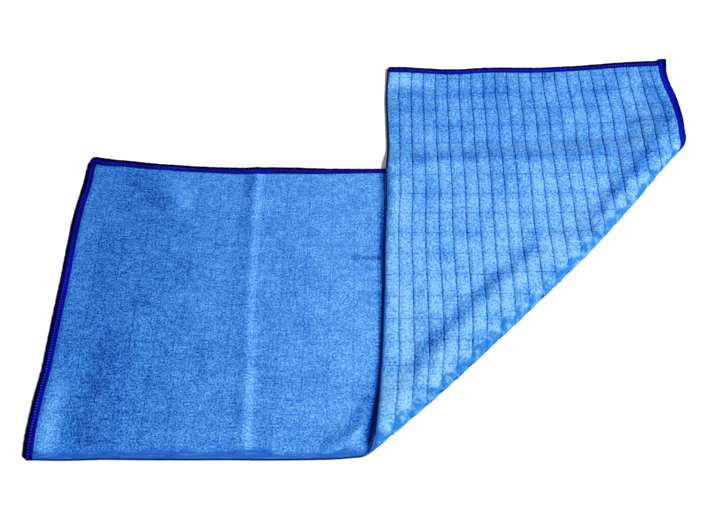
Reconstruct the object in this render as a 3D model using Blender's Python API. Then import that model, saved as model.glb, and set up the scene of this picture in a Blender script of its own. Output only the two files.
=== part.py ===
"""A microfibre cloth that lies on a table, folded once on the diagonal.

The cloth is one strip, cut 608 by 250 mm, smooth on one face and ribbed on the other. Its left part
lies flat with the smooth face up. The strip then rolls round a diagonal fold, and its right part lies
back over the left part with the ribbed face up, passes the left part's far edge and drops to the table.
Three of its sides carry a sewn edging; the long side at the front is plain.

Every solid is worked out on the flat strip and then laid: `u` runs along the strip from its left short
end, `v` runs across it from the plain front edge, and `w` is the height over the strip's middle surface
on the smooth side. `lay` takes these to the place in which the strip lies.
"""
from collections import namedtuple

import bmesh
import bpy
import numpy as np

MM = 0.001

# The strip, as cut
STRIP_LENGTH = 608 * MM
STRIP_WIDTH = 250 * MM
THICKNESS = 3.0 * MM

# The fold: a straight line across the strip, from the plain edge
FOLD_START = 252 * MM
FOLD_ANGLE = np.radians(44.4)
ROLL_RADIUS = 4.0 * MM
ROLL_FALL = 26 * MM

# How the upper layer lies on the lower one, and past its far edge
LAYER_GAP = 1.0 * MM
EDGE_CLEARANCE = 2.0 * MM
EDGE_RISE_LENGTH = 28 * MM
EDGE_RISE_BEFORE = 12 * MM
DROP_START = 2 * MM
DROP_LENGTH = 22 * MM

# The sewn edging, a channel that holds the thinned rim of the cloth
EDGING_WIDTH = 6.0 * MM
EDGING_WALL = 0.6 * MM
EDGING_BEVEL = 0.8 * MM
SEAM_GAP = 0.3 * MM
RIM_INSET = EDGING_WALL + SEAM_GAP
RIM_HALF = THICKNESS / 2 - EDGING_WALL - SEAM_GAP

# How far the unevenness of an edge reaches into the cloth
END_FADE = 110 * MM
SHIFT_REACH_BEFORE = 20 * MM
SHIFT_REACH_AFTER = 30 * MM

# The outline's unevenness, in millimetres: a place along each edge and the edge's offset there
Row = namedtuple("Row", "at offset")
# Front edge, along the strip: positive is into the cloth
PLAIN_EDGE = [Row(0, -0.6), Row(28, -0.8), Row(55, -0.4), Row(85, -0.7), Row(115, -1.0), Row(145, -1.1),
              Row(175, -1.5), Row(205, -1.4), Row(228, -1.0), Row(246, 0.2), Row(266, 1.6), Row(285, 0.4),
              Row(306, -1.2), Row(331, -1.0), Row(357, -0.6), Row(384, 0.0), Row(415, 0.0), Row(438, 0.3),
              Row(460, 0.8), Row(493, 0.5), Row(510, 1.2), Row(541, 0.5), Row(575, -0.6), Row(608, 1.0)]
# Far edge, along the strip: positive is out of the cloth
BOUND_EDGE = [Row(0, 15.2), Row(10, 12.6), Row(21, 10.1), Row(32, 8.9), Row(45, 7.0), Row(59, 4.6),
              Row(77, 2.6), Row(100, 0.1), Row(120, -1.5), Row(140, -2.6), Row(160, -2.8), Row(180, -3.7),
              Row(202, -5.4), Row(228, -6.6), Row(257, -7.5), Row(330, -6.6), Row(400, -5.0), Row(450, -2.6),
              Row(482, -0.2), Row(504, 2.8), Row(520, 4.4), Row(535, 4.9), Row(549, 3.7), Row(563, 2.1),
              Row(579, -0.2), Row(594, -1.3), Row(608, 0.6)]
# Left end, across the strip: positive is into the cloth
LEFT_END = [Row(0, 3.1), Row(12, 1.6), Row(28, 0.9), Row(46, 0.9), Row(62, 1.5), Row(78, 0.9), Row(96, 0.2),
            Row(120, -0.3), Row(145, -1.0), Row(170, -2.1), Row(190, -2.4), Row(207, -1.6), Row(224, -0.4),
            Row(238, -0.5), Row(250, 0.5)]
# Right end, across the strip: positive is out of the cloth
RIGHT_END = [Row(0, 1.7), Row(14, 1.2), Row(28, -0.2), Row(40, -1.5), Row(54, -2.3), Row(66, -2.1),
             Row(78, -1.1), Row(90, -0.4), Row(104, -0.5), Row(120, -1.1), Row(136, -1.5), Row(153, -1.0),
             Row(171, -0.1), Row(192, 1.4), Row(212, 3.0), Row(231, 3.7), Row(250, 4.2)]
# The diagonal fold, from the plain edge to the far edge: positive is to the right
FOLD_SHIFT = [Row(0, -8.3), Row(18, -6.3), Row(44, -3.3), Row(70, -1.1), Row(96, 0.3), Row(125, 1.6),
              Row(150, 2.4), Row(175, 2.9), Row(200, 3.3), Row(222, 3.4), Row(244, 2.5), Row(266, 1.0),
              Row(290, -0.9), Row(312, -3.3), Row(333, -5.4), Row(354, -6.7)]

# The plain edge's rounding: distance from the edge and half the thickness there, in millimetres
Rounding = namedtuple("Rounding", "inset half")
PLAIN_ROUNDING = [Rounding(0.0, 0.35), Rounding(0.8, 0.9), Rounding(2.5, 1.3), Rounding(6.0, 1.5)]

# The grid: counts and places of the sections along and across the strip
FLAT_SECTIONS = 11
ROLL_SECTIONS = 12
ROWS_ACROSS = 16
SECTION_STEP = 3 * MM
FALL_SECTIONS = (4 * MM, 9 * MM, 14 * MM, 20 * MM, ROLL_FALL)
# Past the fold, measured along the strip from the fold's start at the plain edge
UPPER_SECTIONS = [at * MM for at in (80, 115, 150, 185, 215, 232, 242, 249, 256, 263, 271, 286, 308, 330)]

# The plain finish that the packed model carries: colour and roughness of each material
CLOTH_FINISH = ((0.10, 0.33, 0.78, 1.0), 0.95)
EDGING_FINISH = ((0.004, 0.003, 0.24, 1.0), 0.6)
SHARP_ANGLE = np.radians(40)

# The laid cloth's middle, in its own plan measured from the front left corner of the strip
PLAN_CENTRE = np.array([0.2538, 0.1780])


def smooth(part):
    """Ease from 0 to 1: three times the square less twice the cube of the part, held at both ends."""
    part = np.clip(part, 0.0, 1.0)
    return part * part * (3 - 2 * part)


def along(rows, at):
    """A smooth curve through a table's rows: a cubic between each two, with the rows' mean slopes."""
    place, offset = np.array(rows, dtype=float).T * MM
    slope = np.gradient(offset, place)
    at = np.clip(at, place[0], place[-1])
    index = np.clip(np.searchsorted(place, at) - 1, 0, len(rows) - 2)
    span = place[index + 1] - place[index]
    part = (at - place[index]) / span
    rise = offset[index + 1] - offset[index]
    return (offset[index] + rise * smooth(part)
            + slope[index] * span * part * (1 - part) ** 2
            - slope[index + 1] * span * part ** 2 * (1 - part))


def uneven(u, v):
    """Move a point of the true rectangle with the uneven edges, in proportion to how near it is to each."""
    across = v / STRIP_WIDTH
    left = 1 - smooth(u / END_FADE)
    right = 1 - smooth((STRIP_LENGTH - u) / END_FADE)
    moved_v = v + (1 - across) * along(PLAIN_EDGE, u) + across * along(BOUND_EDGE, u)
    moved_u = u + left * along(LEFT_END, v) + right * along(RIGHT_END, v)
    return moved_u, moved_v


def upper_level(x, y):
    """Height of the upper layer's middle: on the lower layer, a little more over its far edge, then down."""
    on_layer = 1.5 * THICKNESS + LAYER_GAP
    past_edge = y - (STRIP_WIDTH + along(BOUND_EDGE, x))
    rise = (EDGE_CLEARANCE - LAYER_GAP) * smooth((past_edge + EDGE_RISE_BEFORE + EDGE_RISE_LENGTH)
                                                 / EDGE_RISE_LENGTH)
    over_edge = THICKNESS + EDGE_CLEARANCE
    return on_layer + rise - over_edge * smooth((past_edge - DROP_START) / DROP_LENGTH)


def lay(u, v, w):
    """Place of a point of the strip as it lies.

    Measured square to the fold line, a point before the fold stays in the table's plane. One inside the
    roll goes round a half circle of the roll's radius less w. One past it runs back over the lower layer,
    at a height that eases from the roll's top to the upper layer's level.
    """
    u, v = uneven(u, v)
    cosine, sine = np.cos(FOLD_ANGLE), np.sin(FOLD_ANGLE)
    along_fold = (u - FOLD_START) * cosine + v * sine
    past_fold = (u - FOLD_START) * sine - v * cosine
    half_roll = np.pi * ROLL_RADIUS / 2
    into_roll = past_fold + half_roll
    turn = np.clip(into_roll / ROLL_RADIUS, 0.0, np.pi)
    back = np.maximum(into_roll - np.pi * ROLL_RADIUS, 0.0)
    before = np.maximum(-into_roll, 0.0)
    out = (ROLL_RADIUS - w) * np.sin(turn) - half_roll - before - back
    near_roll = np.exp(-(before / SHIFT_REACH_BEFORE) ** 2 - (back / SHIFT_REACH_AFTER) ** 2)
    shift = along(FOLD_SHIFT, along_fold) * near_roll
    x = FOLD_START + along_fold * cosine + out * sine + shift
    y = along_fold * sine - out * cosine
    roll_top = THICKNESS / 2 + 2 * ROLL_RADIUS
    height = THICKNESS / 2 + ROLL_RADIUS - (ROLL_RADIUS - w) * np.cos(turn)
    height = height - (roll_top - upper_level(x, y)) * smooth(back / ROLL_FALL)
    return np.stack([x - PLAN_CENTRE[0], y - PLAN_CENTRE[1], height], axis=-1)


def sections(v, first, last):
    """Places along the strip at one distance across it: even on the flat part, close in the roll, which
    they follow on the slant, and at the named places on the upper part."""
    slant = np.sin(FOLD_ANGLE)
    roll_middle = FOLD_START + v / np.tan(FOLD_ANGLE)
    half_roll = np.pi * ROLL_RADIUS / 2 / slant
    flat = np.linspace(first, roll_middle - half_roll, FLAT_SECTIONS, endpoint=False)
    roll = np.linspace(roll_middle - half_roll, roll_middle + half_roll, ROLL_SECTIONS + 1)
    fall = roll_middle + half_roll + np.array(FALL_SECTIONS) / slant
    places = [*flat, *roll, *fall]
    for count, at in enumerate(UPPER_SECTIONS):
        furthest = last - (len(UPPER_SECTIONS) - count) * SECTION_STEP
        places.append(min(max(FOLD_START + at, places[-1] + SECTION_STEP), furthest))
    return np.array([*places, last])


def half_thickness(u, v):
    """Half the cloth's thickness: rounded at the plain edge, thin where the edging holds its rim."""
    inset, half = np.array(PLAIN_ROUNDING).T * MM
    plain = np.interp(v, inset, half)
    from_bound = np.minimum(np.minimum(u, STRIP_LENGTH - u), STRIP_WIDTH - v)
    shoulder = EDGING_WIDTH + SEAM_GAP
    held = np.interp(from_bound, [shoulder, shoulder + SEAM_GAP], [RIM_HALF, THICKNESS / 2])
    return np.minimum(plain, held)


def add_solid(name, corners, faces, finish):
    """One closed, outward-facing mesh object with its own material."""
    shape = bmesh.new()
    verts = [shape.verts.new(corner) for corner in corners]
    for face in faces:
        shape.faces.new([verts[index] for index in face])
    bmesh.ops.recalc_face_normals(shape, faces=shape.faces)
    mesh = bpy.data.meshes.new(name)
    shape.to_mesh(mesh)
    shape.free()
    mesh.shade_smooth()
    mesh.set_sharp_from_angle(angle=SHARP_ANGLE)
    material = bpy.data.materials.new(name)
    material.use_nodes = True
    surface = material.node_tree.nodes["Principled BSDF"]
    surface.inputs["Base Color"].default_value, surface.inputs["Roughness"].default_value = finish
    surface.inputs["Metallic"].default_value = 0.0
    mesh.materials.append(material)
    solid = bpy.data.objects.new(name, mesh)
    bpy.context.scene.collection.objects.link(solid)
    return solid


def ring_faces(count, ring):
    """Faces between `count` equal rings of points, with both ends closed."""
    faces = []
    for step in range(count - 1):
        for side in range(ring):
            following = (side + 1) % ring
            faces.append((step * ring + side, step * ring + following,
                          (step + 1) * ring + following, (step + 1) * ring + side))
    faces.append(tuple(range(ring)))
    faces.append(tuple((count - 1) * ring + side for side in range(ring)))
    return faces


def make_cloth():
    """The cloth: two like grids, half the thickness above and below the middle surface, and the rim
    between them."""
    shoulder = EDGING_WIDTH + SEAM_GAP
    ends = [RIM_INSET, shoulder, shoulder + SEAM_GAP]
    rounding = [row.inset * MM for row in PLAIN_ROUNDING]
    inner = np.linspace(rounding[-1], STRIP_WIDTH - ends[-1], ROWS_ACROSS)
    across = [*rounding[:-1], *inner, STRIP_WIDTH - ends[1], STRIP_WIDTH - ends[0]]
    grid = []
    for v in across:
        between = sections(v, ends[-1], STRIP_LENGTH - ends[-1])
        u = np.array([*ends[:-1], *between, STRIP_LENGTH - ends[1], STRIP_LENGTH - ends[0]])
        grid.append(np.stack([u, np.full(len(u), v)], axis=-1))
    grid = np.array(grid)
    u, v = grid[..., 0], grid[..., 1]
    half = half_thickness(u, v)
    rows, columns = u.shape
    corners = np.concatenate([lay(u, v, half).reshape(-1, 3), lay(u, v, -half).reshape(-1, 3)])
    index = np.arange(2 * rows * columns).reshape(2, rows, columns)
    faces = []
    for side in index:
        for row in range(rows - 1):
            for column in range(columns - 1):
                faces.append((side[row, column], side[row, column + 1],
                              side[row + 1, column + 1], side[row + 1, column]))
    outline = [index[:, 0, :], index[:, -1, :], index[:, :, 0], index[:, :, -1]]
    for upper, lower in outline:
        for step in range(len(upper) - 1):
            faces.append((upper[step], upper[step + 1], lower[step + 1], lower[step]))
    return add_solid("cloth", corners, faces, CLOTH_FINISH)


def edging_profile():
    """The edging's section: distance in from the cloth's outer edge, and height. It is a channel whose
    closed side is the outer edge."""
    half = THICKNESS / 2
    inner_half = half - EDGING_WALL
    return [(EDGING_WIDTH, half), (EDGING_BEVEL, half), (0.0, half - EDGING_BEVEL),
            (0.0, EDGING_BEVEL - half), (EDGING_BEVEL, -half), (EDGING_WIDTH, -half),
            (EDGING_WIDTH, -inner_half), (EDGING_WALL, -inner_half),
            (EDGING_WALL, inner_half), (EDGING_WIDTH, inner_half)]


def make_long_edging():
    """The edging of the far long side, carried along the strip from end to end."""
    rings = []
    for inset, height in edging_profile():
        v = STRIP_WIDTH - inset
        u = sections(v, 0.0, STRIP_LENGTH)
        rings.append(lay(u, np.full(len(u), v), np.full(len(u), height)))
    rings = np.array(rings).transpose(1, 0, 2)
    faces = ring_faces(rings.shape[0], rings.shape[1])
    return add_solid("edging_long", rings.reshape(-1, 3), faces, EDGING_FINISH)


def make_end_edging(name, end, inwards):
    """The edging of a short end, from the plain edge to just short of the long edging."""
    across = np.linspace(0.0, STRIP_WIDTH - EDGING_WIDTH - SEAM_GAP, ROWS_ACROSS)
    rings = []
    for inset, height in edging_profile():
        u = np.full(len(across), end + inwards * inset)
        rings.append(lay(u, across, np.full(len(across), height)))
    rings = np.array(rings).transpose(1, 0, 2)
    faces = ring_faces(rings.shape[0], rings.shape[1])
    return add_solid(name, rings.reshape(-1, 3), faces, EDGING_FINISH)


def main():
    for old in list(bpy.data.objects):
        bpy.data.objects.remove(old, do_unlink=True)
    make_cloth()
    make_long_edging()
    make_end_edging("edging_left", 0.0, 1)
    make_end_edging("edging_end", STRIP_LENGTH, -1)


main()
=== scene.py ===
"""Looks of a microfibre cloth that lies on a table, folded once on the diagonal.

The cloth is one strip, smooth plush on one face and ribbed on the other. Its left part lies flat with the
plush up, the strip rolls round a diagonal fold, and its right part lies back over the left one with the
ribs up. Three sides carry an overlocked edging. Every piece is worked out on the flat strip, where `u` runs
along it, `v` across it from the plain front edge and `w` is the height on the plush side, and is then laid
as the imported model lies.
"""

import bpy
import numpy as np
from bpy.props import FloatProperty, FloatVectorProperty, IntProperty, PointerProperty
from mathutils import Matrix, Vector


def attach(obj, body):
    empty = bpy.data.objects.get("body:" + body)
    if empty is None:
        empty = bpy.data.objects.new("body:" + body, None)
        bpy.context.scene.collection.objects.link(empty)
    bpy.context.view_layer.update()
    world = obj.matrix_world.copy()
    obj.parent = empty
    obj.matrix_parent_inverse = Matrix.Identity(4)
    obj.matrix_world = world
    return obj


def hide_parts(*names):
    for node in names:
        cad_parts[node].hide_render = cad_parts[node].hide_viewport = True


bl_info = {
    "name": "Folded Microfibre Cloth",
    "version": (1, 0, 0),
    "blender": (4, 5, 0),
    "location": "View3D > Sidebar > Cloth",
    "description": "Makes a microfibre cloth, folded once, with a ribbed face and an overlocked edging",
    "category": "Object",
}

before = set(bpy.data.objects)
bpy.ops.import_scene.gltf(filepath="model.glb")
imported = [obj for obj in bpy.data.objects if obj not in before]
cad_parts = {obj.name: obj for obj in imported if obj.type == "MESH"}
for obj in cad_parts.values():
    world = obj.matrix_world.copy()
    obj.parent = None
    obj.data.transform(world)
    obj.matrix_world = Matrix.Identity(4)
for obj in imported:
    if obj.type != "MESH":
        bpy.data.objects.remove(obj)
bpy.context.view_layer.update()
MM = 0.001

# The strip and its fold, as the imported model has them. Distances before and after the fold are measured
# square to it. The upper layer rises a little before the lower layer's far edge and drops to the table
# past it, and the fold's unevenness fades away on both sides of it
STRIP_LENGTH = 608 * MM
STRIP_WIDTH = 250 * MM
THICKNESS = 3 * MM
FOLD_START = 252 * MM
FOLD_ANGLE = np.radians(44.4)
ROLL_RADIUS = 4 * MM
LAYER_GAP = 1 * MM
EDGE_CLEARANCE = 2 * MM
EDGE_RISE_LENGTH = 28 * MM
EDGE_RISE_BEFORE = 12 * MM
DROP_START = 2 * MM
DROP_LENGTH = 22 * MM
END_FADE = 110 * MM
SHIFT_REACH_BEFORE = 20 * MM
SHIFT_REACH_AFTER = 30 * MM
PLAN_CENTRE = np.array([0.2538, 0.1780])

# Places and lengths in the tables below are in millimetres. The outline's unevenness: a place along each
# edge, or along the fold, and the offset there
PLAIN_EDGE = [(0, -0.6), (28, -0.8), (55, -0.4), (85, -0.7), (115, -1), (145, -1.1), (175, -1.5),
              (205, -1.4), (228, -1), (246, 0.2), (266, 1.6), (285, 0.4), (306, -1.2), (331, -1),
              (357, -0.6), (384, 0), (415, 0), (438, 0.3), (460, 0.8), (493, 0.5), (510, 1.2), (541, 0.5),
              (575, -0.6), (608, 1)]
BOUND_EDGE = [(0, 15.2), (10, 12.6), (21, 10.1), (32, 8.9), (45, 7), (59, 4.6), (77, 2.6), (100, 0.1),
              (120, -1.5), (140, -2.6), (160, -2.8), (180, -3.7), (202, -5.4), (228, -6.6), (257, -7.5),
              (330, -6.6), (400, -5), (450, -2.6), (482, -0.2), (504, 2.8), (520, 4.4), (535, 4.9),
              (549, 3.7), (563, 2.1), (579, -0.2), (594, -1.3), (608, 0.6)]
LEFT_END = [(0, 3.1), (12, 1.6), (28, 0.9), (46, 0.9), (62, 1.5), (78, 0.9), (96, 0.2), (120, -0.3),
            (145, -1), (170, -2.1), (190, -2.4), (207, -1.6), (224, -0.4), (238, -0.5), (250, 0.5)]
RIGHT_END = [(0, 1.7), (14, 1.2), (28, -0.2), (40, -1.5), (54, -2.3), (66, -2.1), (78, -1.1), (90, -0.4),
             (104, -0.5), (120, -1.1), (136, -1.5), (153, -1), (171, -0.1), (192, 1.4), (212, 3),
             (231, 3.7), (250, 4.2)]
FOLD_SHIFT = [(0, -8.3), (18, -6.3), (44, -3.3), (70, -1.1), (96, 0.3), (125, 1.6), (150, 2.4), (175, 2.9),
              (200, 3.3), (222, 3.4), (244, 2.5), (266, 1), (290, -0.9), (312, -3.3), (333, -5.4),
              (354, -6.7)]

# The edging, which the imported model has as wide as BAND_WIDTH all round, and its true width on each side.
# Its top is round over the nose and sinks towards its inner edge
BAND_WIDTH = 6 * MM
BAND_NOSE = 2 * MM
BAND_SUNK = 1.1 * MM
WIDTH_FADE = 20 * MM
LEFT_WIDTH = 7 * MM
END_WIDTH = 6.3 * MM
LONG_WIDTH = [(0, 6.8), (16, 7.2), (34, 6.4), (60, 6.2), (105, 6), (135, 6.6), (165, 6.6), (198, 5.9),
              (222, 4.9), (240, 4.5), (300, 5), (400, 5.2), (500, 4.4), (550, 5.6), (608, 6.4)]

# How far the far edging's end stands out past the corner, how far the two short lengths run in under it,
# and how much the ends of each length are rounded
CHAIN_END = 2.4 * MM
SHORT_LAP = 0.8 * MM
LONG_CORNERS = (6.5 * MM, 1 * MM)
LEFT_CORNERS = (4.5 * MM, 1 * MM)
END_CORNERS = (4 * MM, 1 * MM)

# The steps of the edging's mesh in a stitch, the distance across it in which its threads lean by one
# winding, and how far from its ends its section has its full height
BAND_STEPS = 8
WINDING_LEAN = 5 * MM
BAND_EASE = 1.6 * MM

# The needle's stitches: radius, half length, lean, and how far from the edging's ends they start
NEEDLE_RADIUS = 0.26 * MM
NEEDLE_HALF = 0.55 * MM
NEEDLE_LEAN = 0.25 * MM
NEEDLE_START = 1.5 * MM

# A place along each length of edging, how light the wound thread is there, as painted light and shade by how
# that side faces the lamp, and how clear the stitches are
LONG_PAINTED_LIGHT_AND_CLARITY = [(0, 0.34, 0.3), (20, 0.34, 0.7), (34, 0.35, 0.25), (60, 0.36, 0.3), (70, 0.36, 0.9),
             (88, 0.36, 0.9), (98, 0.37, 0.3), (136, 0.38, 0.3), (146, 0.38, 0.9), (156, 0.38, 0.35),
             (166, 0.38, 0.8), (174, 0.38, 0.5), (186, 0.4, 1), (200, 0.4, 1), (212, 0.41, 0.4),
             (250, 0.42, 0.3), (400, 0.6, 0.2), (500, 0.7, 0.2), (530, 0.95, 0.3), (585, 0.95, 0.3),
             (600, 0.65, 0.3), (610, 0.4, 0.2)]
LEFT_PAINTED_LIGHT_AND_CLARITY = [(50, 0.47, 0.9), (90, 0.47, 0.45), (250, 0.4, 0.2)]
END_PAINTED_LIGHT_AND_CLARITY = [(0, 0.5, 0.95), (120, 0.55, 1)]

# Half the cloth's thickness by the distance in from an edging's outer edge, and from the plain edge, and how
# far in from the edging's outer edge the cloth ends
HELD_EDGE = [(6, 0.45), (6.3, 0.95), (6.7, 1.15), (7.6, 1.38), (9.2, 1.5)]
CUT_EDGE = [(0, 0.25), (0.4, 0.62), (1, 0.86), (2, 1.03), (3.4, 1.16), (5, 1.28), (6.6, 1.42), (8.6, 1.6),
            (12, 1.5)]
RIM_INSET = 2 * MM

# How far the cut edge's dark colour shows at the plain edge: the bare ground knit, with painted shade on
# the edge's shaded side. On the ribs, from a given place along the strip, it shows twice as far, and that
# widening is painted shade. At the roll's end the pile reaches the edge
CUT_REACH = 0.9 * MM
SHADED_EDGE_FROM = 490 * MM
PILED_END = (247 * MM, 262 * MM)

# How far the pile is pressed flat beside the plain edge, by the place along it, on either face. That darker
# band is also painted shade on the edge's rounded rim
PLUSH_PRESSED_AND_SHADE = [(0, 7.5)]
RIBBED_PRESSED_AND_SHADE = [(500, 3.2), (560, 2.4)]

# How light the pile of each face is before its patches, and how much of that opened or pressed pile hides
PLUSH_TONE = 0.42
RIBBED_TONE = 0.60
COVER = 0.85

# Lumps and grooves start where the cloth's half thickness is PILE_FROM, and are full PILE_EASE above that
PILE_FROM = 0.9 * MM
PILE_EASE = 0.6 * MM

# By the distance across the strip: how far past the fold the roll's outer line lies, and how wide the band
# is that the bend opens, at its narrowest and how much wider it is past each groove
ROLL_EDGE = [(25, 1.2), (60, -0.4), (130, -0.8), (190, -2.6)]
OPENED_WIDTH = [(17, 6.2), (39, 4), (55, 4.4), (74, 3.1), (92, 2.3), (109, 1.2), (129, 0.9), (150, 1.8),
                (200, 2.2), (212, 4.6)]
OPENED_SCALLOP = [(120, 4.2), (170, 2.8)]

# By the distance across the strip: how dark the painted shade along the roll's outer line is, and how light
# the frayed pile is along the opened band
ROLL_OUTLINE_SHADE = [(50, 0.6), (100, 0.25)]
FRAYED_LIGHT = [(120, 0.22), (170, 0.1)]

# The grid of the cloth's mesh
GROOVE_ROWS = np.array([-2.7, -1, -0.45, 0, 0.45, 1, 2.7]) * MM
STRAIGHT_END = 258 * MM
BEFORE_ROLL = 6 * MM
STRAIGHT_COLUMNS = 112
HIDDEN_COLUMNS = 14
ROLL_COLUMNS = 16
UPPER_COLUMNS = 106

# The crease that packing left across the left part: how far its left and right sides reach, its share of
# the full height at the plain edge and at the far one, how far from each it fades, and its place along the
# strip at a distance across it
CREASE_SIDES = (7.5 * MM, 2.6 * MM)
CREASE_FRONT = 0.55
CREASE_END = 0.4
CREASE_FRONT_FADE = 8 * MM
CREASE_END_FADE = 25 * MM
CREASE_LINE = [(0, 157.2), (40, 156.5), (80, 155), (120, 152.4), (160, 150.2), (205, 148.9), (250, 148.8)]

# The noises that keep things from being even: each one's shares, sizes and random seeds. The noise of the
# cells is as large as they are, and only has a share and a seed. All repeat after NOISE_VALUES squares
NOISES = {
    "waves": [(0.35, 62, 3), (0.15, 27, 4)],
    "wander": [(0.9, 55, 7)],
    "grooves": [(0.25, 14, 11)],
    "opened": [(1, 9, 21)],
    "pressed_and_painted_shade": [(0.7, 13, 22), (0.4, 4, 23)],
    "lumps": [(1, 3.6, 31), (0.6, 7.5, 32)],
    "winding": [(1, 2.3, 41)],
    "needle": [(0.2, 3, 43)],
    "tone": [(0.3, 13, 44)],
}
CELL_NOISE = (0.09, 51)
NOISE_VALUES = 512

# How far in from an edging, and from the plain edge, the broad waves have their full height, and how far in
# from the far edge, and from the plain edge, the knit's lines wander fully
WAVE_INSET = 30 * MM
WAVE_FRONT = 14 * MM
WANDER_INSET = 25 * MM
WANDER_FRONT = 18 * MM

# How far from the roll the folds and waves have their full height, and the upper layer may have come down.
# By the distance along the fold, the middle and half the length of the slope in which it comes down
RELIEF_EASE = 12 * MM
FALL_EASE = 6 * MM
FALL_MIDDLE = [(0, 18), (58, 22), (102, 26), (147, 25), (188, 23), (216, 15), (240, 9), (263, 12),
               (311, 21), (354, 30)]
FALL_HALF = [(0, 12), (60, 13), (120, 13), (180, 13), (220, 13), (250, 12), (290, 11), (325, 17), (354, 24)]

# Soft features: each one's reach to the left and right of a line as it is walked, and the line's points,
# as u, v and how strong the feature is there. A fold's strength is its height, the drift's is how far the
# knit has slid away from the plain edge, and a patch's is how much lighter the pile is coloured there:
# partly the lie of the pile, and partly painted light and shade beside the folds, the crease, the trough
# and the upper layer's edge
LOWER_FOLDS = [
    (9, 15, (5, 6, 1.6), (6, 40, 1.9), (8, 78, 0.5)),
    (10, 22, (54, 10, 0.7), (52, 75, 0.8)),
    (12, 9, (84, 205, 1), (68, 236, 1.6)),
    (5, 6, (106, 148, 0.5), (76, 173, 0.6)),
    (5, 6, (224, 9, 0.9), (236, 16, 1.6), (247, 25, 1)),
    (4, 4, (228, 157, 0.5), (250, 156, 0.6)),
    (8, 12, (30, 215, 0.8), (20, 238, 1.4)),
]
UPPER_FOLDS = [
    (13, 18, (606, 4, 1.3), (606, 40, 1.4), (606, 75, 0.3)),
    (18, 14, (550, 20, 0.9), (549, 60, 1), (548, 115, 0.7), (548, 180, 0.3)),
]
KNIT_DRIFT = [
    (30, 30, (520, 20, -1.8), (515, 80, -2.6), (515, 140, -3.2), (520, 195, -3.4)),
    (16, 16, (476, 226, 3), (500, 226, 1.8)),
    (14, 14, (588, 95, 1), (590, 150, 0.5), (588, 226, 2)),
    (26, 26, (296, 8, 3), (330, 40, 2.4), (368, 55, 2.4), (400, 70, 1.7), (425, 90, 1.2)),
    (16, 22, (405, 145, -1.4), (425, 160, -2.4), (450, 185, -1.6)),
]
LOWER_PATCHES = [
    # Broad patches: partly the lie of the pile, partly painted light that falls off towards the left
    (55, 55, (40, 0, -0.17), (50, 250, -0.15)),
    (60, 60, (240, 0, 0.11), (240, 250, 0.11)),
    (40, 40, (90, 240, 0.04), (200, 240, 0.02)),
    # Painted light and shade beside the soft folds: lighter where a slope faces the lamp, darker where it
    # faces away
    (8, 8, (46, 230, -0.1), (74, 209, -0.12)),
    (9, 9, (90, 214, 0.16), (85, 224, 0.12)),
    (8, 9, (16, 8, 0.36), (17, 40, 0.3), (14, 62, 0.06)),
    (9, 9, (42, 20, -0.06), (43, 56, -0.08), (40, 90, -0.04)),
    (3, 3, (80, 166, -0.1), (102, 149, -0.1)),
    # Painted highlight on the packing crease's right side, and painted shade on its left side
    (2.4, 5, (159, 10, 0.27), (156, 80, 0.18), (152.5, 150, 0.13), (151.5, 246, 0.16)),
    (6, 2.5, (152, 10, -0.04), (149, 80, -0.04), (146, 150, -0.02), (145.5, 200, -0.15), (145, 246, -0.2)),
    (20, 20, (236, 150, 0.03), (234, 100, 0.07), (232, 60, 0.06)),
    # Painted shadow that the upper layer's plain edge casts on the lower layer: dark right beside it, with a
    # softer fringe
    (2, 2.4, (255, 250, -0.5), (254.7, 212, -0.55), (254.3, 170, -0.9), (254, 120, -0.9), (252.5, 80, -0.9),
     (251, 56, -0.9), (250, 36, -0.9), (250.5, 16, -0.8), (251, 5, -0.2)),
    (2, 5, (252, 70, -0.06), (249, 36, -0.3), (250, 14, -0.3), (250, 4, -0.1)),
    # Painted shade and highlight on either side of the fold near the roll's end
    (6, 5, (212, 9, -0.08), (232, 20, -0.22), (242, 42, -0.25)),
    (4, 4, (235, 4, 0.1), (241, 16, 0.2)),
    # Painted shade along small wrinkles beside the upper layer's edge
    (2.4, 2.4, (230, 161, -0.12), (242, 160, -0.32), (253, 160, -0.32)),
    (1.2, 1.2, (240, 150, -0.05), (253, 149, -0.2)),
    (1.2, 1.2, (243, 139, -0.05), (253, 138, -0.2)),
    (1.2, 1.2, (238, 128, -0.05), (253, 127, -0.16)),
]
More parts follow.
